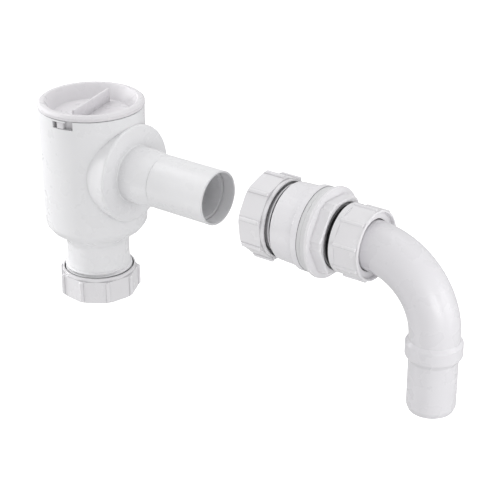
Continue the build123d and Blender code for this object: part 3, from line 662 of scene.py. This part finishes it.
class OVERFLOW_OT_cap(bpy.types.Operator):
    """Model the twist cap with its stepped rim, finger recess, grip fin and lugs"""
    bl_idname = "overflow.cap"
    bl_label = "Model the cap"

    sides = 144
    skirt_gap = 0.2 * MM
    groove_play = 0.1 * MM
    edge_lip = 0.3 * MM
    shoulder_run = 0.35 * MM
    shoulder_fall = 0.25 * MM
    corner = 0.2 * MM
    fin_root = 0.5 * MM
    lug_root = 1.0 * MM

    def turned_cap(self, sizes, top):
        """The cap's round body: rim, shoulder and recess above, skirt, groove and ring below."""
        low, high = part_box("filter_cap")
        seal_low, seal_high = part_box("cap_o_ring")
        rim_r = (high[0] - low[0]) / 2
        underside = high[2] - sizes.rim_thickness
        band_top = underside + sizes.band_height
        foot = low[2] + sizes.boss_length
        skirt_r = self.skirt_radius()
        groove_r = skirt_r + self.skirt_gap - (seal_high[2] - seal_low[2]) - self.groove_play
        groove_top = seal_high[2] + self.groove_play
        groove_foot = seal_low[2] - self.groove_play
        boss_bore_r = sizes.boss_radius - sizes.boss_wall
        edge_r = rim_r - sizes.shoulder_width
        inner_r = edge_r - sizes.rim_width
        cap = turned_disc("twist_cap", rim_r, underside, band_top, self.sides)
        grow(cap, 1, rim_r, band_top, (
            (rim_r - self.edge_lip, band_top),
            (edge_r + self.shoulder_run, top - self.shoulder_fall),
            (edge_r, top),
            (inner_r, top),
            (inner_r - self.edge_lip, top - self.edge_lip),
            (inner_r - sizes.recess_draft, top - sizes.recess_depth)))
        grow(cap, -1, rim_r, underside, (
            (skirt_r, underside), (skirt_r, groove_top), (groove_r, groove_top),
            (groove_r, groove_foot), (skirt_r, groove_foot), (skirt_r, foot),
            (sizes.boss_radius, foot), (sizes.boss_radius, low[2]),
            (boss_bore_r, low[2]), (boss_bore_r, foot)))
        deselect_all()
        cap.select_set(True)
        bpy.context.view_layer.objects.active = cap
        ease(cap, self.corner, 2)
        return cap

    def skirt_radius(self):
        seal_low, seal_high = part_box("cap_o_ring")
        return (seal_high[0] - seal_low[0]) / 2 - self.skirt_gap

    def execute(self, context):
        sizes = context.scene.overflow_cap
        _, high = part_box("filter_cap")
        top = high[2] + sizes.rim_rise
        cap = self.turned_cap(sizes, top)

        fin_top = top - sizes.fin_drop
        fin_foot = top - sizes.recess_depth - self.fin_root
        fin = block("cap_fin", (sizes.fin_length, sizes.fin_thickness, fin_top - fin_foot),
                    (0.0, 0.0, (fin_top + fin_foot) / 2), sizes.fin_angle)
        pieces = [cap, fin]
        lug_foot_r = self.skirt_radius() - self.lug_root
        lug_size = (sizes.lug_radius - lug_foot_r, sizes.lug_width, sizes.lug_height)
        lug_middle = (
            (sizes.lug_radius + lug_foot_r) / 2, 0.0, top - sizes.lug_drop - sizes.lug_height / 2)
        for turn in (sizes.lug_angle, sizes.lug_angle + math.pi):
            pieces.append(block("cap_lug", lug_size, lug_middle, turn))
        cap = joined(pieces)
        place(cap, Matrix.Translation((housing_axis(), 0.0, 0.0)), "cap",
              worn_by("filter_cap"))
        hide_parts("filter_cap")
        return {"FINISHED"}


class OVERFLOW_OT_threads(bpy.types.Operator):
    """Cut the threads of the connector, the housing outlet and the nuts"""
    bl_idname = "overflow.threads"
    bl_label = "Cut the threads"

    sunk = 0.1 * MM
    bore_play = 0.25 * MM
    pipe_lead = 1.0 * MM
    inlet_stop = 2.4 * MM
    outlet_cover = 3.4 * MM
    nut_mouth = 4.4 * MM
    nut_seat = 6.2 * MM
    collar_depth = 1.2 * MM
    collar_gap = 0.9 * MM
    collar_length = 4.2 * MM
    tank_lead = 0.9 * MM
    tank_stop = 1.0 * MM
    bend_lead = 1.2 * MM

    def cut(self, name, thread, first, length, tooth, matrix, body, slot, node):
        """Cut one thread and let it ride its body in the material of a solid."""
        steps = bpy.context.scene.overflow_threads.steps
        piece = cut_thread(name, *thread, first, length, steps, *tooth)
        place(piece, matrix, body, worn_by(node))

    def execute(self, context):
        sizes = context.scene.overflow_threads
        inlet_low, outlet_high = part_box("connector_body")
        nut_low, nut_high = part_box("inlet_nut")
        out_low, out_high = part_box("outlet_nut")
        body_low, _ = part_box("housing_body")
        ring_low, ring_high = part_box("thread_ring")
        down = Matrix.Translation((housing_axis(), 0, 0)) @ Matrix.Rotation(math.pi, 4, "X")
        pipe = (sizes.pipe_root - self.sunk, sizes.pipe_major, sizes.pipe_pitch)
        ridges = (sizes.pipe_root - self.collar_depth, sizes.pipe_major, sizes.ridge_pitch)
        nut_bore = (sizes.pipe_bore + self.sunk, sizes.pipe_root + self.bore_play, sizes.pipe_pitch)
        tank = (sizes.tank_root - self.sunk, sizes.tank_major, sizes.tank_pitch)
        bend = (sizes.bend_root - self.sunk, sizes.bend_major, sizes.bend_pitch)

        first = inlet_low[0] + self.pipe_lead
        last = nut_high[0] - self.inlet_stop
        self.cut("inlet_thread", pipe, first, last - first, FULL_TOOTH,
                 ALONG_X, "connector", "connector_plastic", "connector_body")

        first = nut_high[0] + self.collar_gap
        self.cut("inlet_thread_runout", ridges, first, self.collar_length, RIDGE_TOOTH,
                 ALONG_X, "connector", "connector_plastic", "connector_body")

        first = nut_low[0] + self.nut_seat
        last = nut_high[0] - self.nut_mouth
        self.cut("inlet_nut_thread", nut_bore, first, last - first, NUT_TOOTH,
                 ALONG_X, "inlet_nut", "nut_plastic", "inlet_nut")

        first = -out_high[2] - self.outlet_cover
        last = -body_low[2] - self.pipe_lead
        self.cut("outlet_thread", pipe, first, last - first, FULL_TOOTH,
                 down, "housing", "housing_plastic", "housing_body")

        first = -out_high[2] + self.nut_mouth
        last = -out_low[2] - self.nut_seat
        self.cut("outlet_nut_thread", nut_bore, first, last - first, NUT_TOOTH,
                 down, "outlet_nut", "nut_plastic", "inlet_nut")

        first = self.tank_lead
        last = ring_low[0] - self.tank_stop
        self.cut("tank_thread", tank, first, last - first, FULL_TOOTH,
                 ALONG_X, "connector", "connector_plastic", "connector_body")

        first = ring_high[0] + self.bend_lead
        last = outlet_high[0] - self.bend_lead
        self.cut("bend_thread", bend, first, last - first, FULL_TOOTH,
                 ALONG_X, "connector", "connector_plastic", "connector_body")
        return {"FINISHED"}


class OVERFLOW_OT_studio(bpy.types.Operator):
    """Lay the floor, hang the lamps and set the camera"""
    bl_idname = "overflow.studio"
    bl_label = "Set the studio"

    camera_target = Vector((-67.67, 0.0, -35.08)) * MM
    camera_distance = 1142.6 * MM
    camera_azimuth = 36.554
    camera_elevation = 25.794
    camera_roll = -0.147
    camera_lens = 108.43
    camera_sensor = 36.0
    camera_near = 0.05
    camera_far = 30.0
    floor_size = 14.0
    floor_drop = 0.34
    world_level = 0.71
    # Name, place, aim, width and power of each lamp
    lamps = (
        ("left_high", (-0.62, -0.05, 0.5), (-0.22, 0.0, 0.0), 0.4, 0.85),
        ("left", (-0.68, -0.12, 0.1), (-0.22, 0.0, 0.0), 0.2, 1.4),
        ("right", (0.5, -0.25, 0.05), (0.09, 0.0, -0.06), 0.3, 0.75),
        ("right_back", (0.5, 0.12, 0.05), (0.09, 0.0, -0.06), 0.3, 0.42),
        ("top", (-0.07, 0.25, 0.72), (-0.07, 0.0, -0.02), 0.6, 0.7),
        ("low_left", (-0.45, -0.45, -0.25), (-0.2, 0.0, -0.02), 0.4, 0.4),
        ("low_right", (0.35, -0.35, -0.3), (0.0, 0.0, -0.02), 0.4, 0.12),
    )

    def add_floor(self, colour):
        deselect_all()
        bpy.ops.mesh.primitive_plane_add(
            size=self.floor_size, location=(0, 0, cad_low[2] - self.floor_drop))
        floor = bpy.context.object
        floor.name = "studio_floor"
        material = bpy.data.materials.new("studio_floor")
        material.use_nodes = True
        tree = material.node_tree
        tree.nodes.clear()
        output = tree.nodes.new("ShaderNodeOutputMaterial")
        paint = tree.nodes.new("ShaderNodeBsdfDiffuse")
        paint.inputs["Color"].default_value = (*colour, 1.0)
        lift = tree.nodes.new("ShaderNodeEmission")
        path = tree.nodes.new("ShaderNodeLightPath")
        tree.links.new(path.outputs["Is Camera Ray"], lift.inputs["Strength"])
        both = tree.nodes.new("ShaderNodeAddShader")
        tree.links.new(paint.outputs["BSDF"], both.inputs[0])
        tree.links.new(lift.outputs["Emission"], both.inputs[1])
        tree.links.new(both.outputs["Shader"], output.inputs["Surface"])
        floor.data.materials.append(material)

    def add_lamp(self, name, place_at, aim, size, power):
        lamp = bpy.data.lights.new(name, "AREA")
        lamp.shape = "DISK"
        lamp.size = size
        lamp.energy = power
        holder = bpy.data.objects.new(name, lamp)
        bpy.context.scene.collection.objects.link(holder)
        holder.location = place_at
        holder.rotation_mode = "QUATERNION"
        holder.rotation_quaternion = (Vector(aim) - Vector(place_at)).to_track_quat("-Z", "Y")

    def add_world(self):
        world = bpy.data.worlds.new("studio_world")
        bpy.context.scene.world = world
        world.use_nodes = True
        tree = world.node_tree
        tree.nodes.clear()
        output = tree.nodes.new("ShaderNodeOutputWorld")
        sky = tree.nodes.new("ShaderNodeBackground")
        sky.inputs["Color"].default_value = (1.0, 1.0, 1.0, 1.0)
        path = tree.nodes.new("ShaderNodeLightPath")
        level = ramp(tree, path.outputs["Is Camera Ray"], 0.0, 1.0, self.world_level, 1.0)
        tree.links.new(level, sky.inputs["Strength"])
        tree.links.new(sky.outputs["Background"], output.inputs["Surface"])

    def add_camera(self):
        azimuth = math.radians(self.camera_azimuth)
        elevation = math.radians(self.camera_elevation)
        back = Vector((math.sin(azimuth) * math.cos(elevation),
                       -math.cos(azimuth) * math.cos(elevation), math.sin(elevation)))
        data = bpy.data.cameras.new("studio_camera")
        data.sensor_width = self.camera_sensor
        data.lens = self.camera_lens
        data.clip_start = self.camera_near
        data.clip_end = self.camera_far
        camera = bpy.data.objects.new("studio_camera", data)
        bpy.context.scene.collection.objects.link(camera)
        camera.location = self.camera_target + back * self.camera_distance
        camera.rotation_mode = "QUATERNION"
        level = (-back).to_track_quat("-Z", "Y")
        camera.rotation_quaternion = level @ Quaternion((0, 0, 1), math.radians(self.camera_roll))
        bpy.context.scene.camera = camera

    def execute(self, context):
        colours = context.scene.overflow_colours
        self.add_floor(colours.floor)
        self.add_world()
        for name, place_at, aim, size, power in self.lamps:
            self.add_lamp(name, place_at, aim, size, power)
        self.add_camera()
        context.scene.view_settings.view_transform = "Standard"
        return {"FINISHED"}


class OVERFLOW_PT_panel(bpy.types.Panel):
    """Sizes, colours and steps of the tank overflow connector"""
    bl_idname = "OVERFLOW_PT_panel"
    bl_label = "Tank overflow connector"
    bl_space_type = "VIEW_3D"
    bl_region_type = "UI"
    bl_category = "Overflow"

    def draw(self, context):
        layout = self.layout
        scene = context.scene
        for group in (scene.overflow_threads, scene.overflow_cap, scene.overflow_colours):
            box = layout.box()
            for name in group.bl_rna.properties.keys():
                if name not in ("rna_type", "name"):
                    box.prop(group, name)
        for operator in OPERATORS:
            layout.operator(operator.bl_idname)


OPERATORS = (
    OVERFLOW_OT_plastics, OVERFLOW_OT_rubber, OVERFLOW_OT_cap, OVERFLOW_OT_threads, OVERFLOW_OT_studio)
CLASSES = (OverflowThreads, OverflowCap, OverflowColours, *OPERATORS, OVERFLOW_PT_panel)


def register():
    for made in CLASSES:
        bpy.utils.register_class(made)
    bpy.types.Scene.overflow_threads = bpy.props.PointerProperty(type=OverflowThreads)
    bpy.types.Scene.overflow_cap = bpy.props.PointerProperty(type=OverflowCap)
    bpy.types.Scene.overflow_colours = bpy.props.PointerProperty(type=OverflowColours)


def unregister():
    del bpy.types.Scene.overflow_colours
    del bpy.types.Scene.overflow_cap
    del bpy.types.Scene.overflow_threads
    for made in reversed(CLASSES):
        bpy.utils.unregister_class(made)


def main():
    register()
    bpy.ops.overflow.plastics()
    bpy.ops.overflow.rubber()
    bpy.ops.overflow.cap()
    bpy.ops.overflow.threads()
    bpy.ops.overflow.studio()


if __name__ == "__main__":
    main()
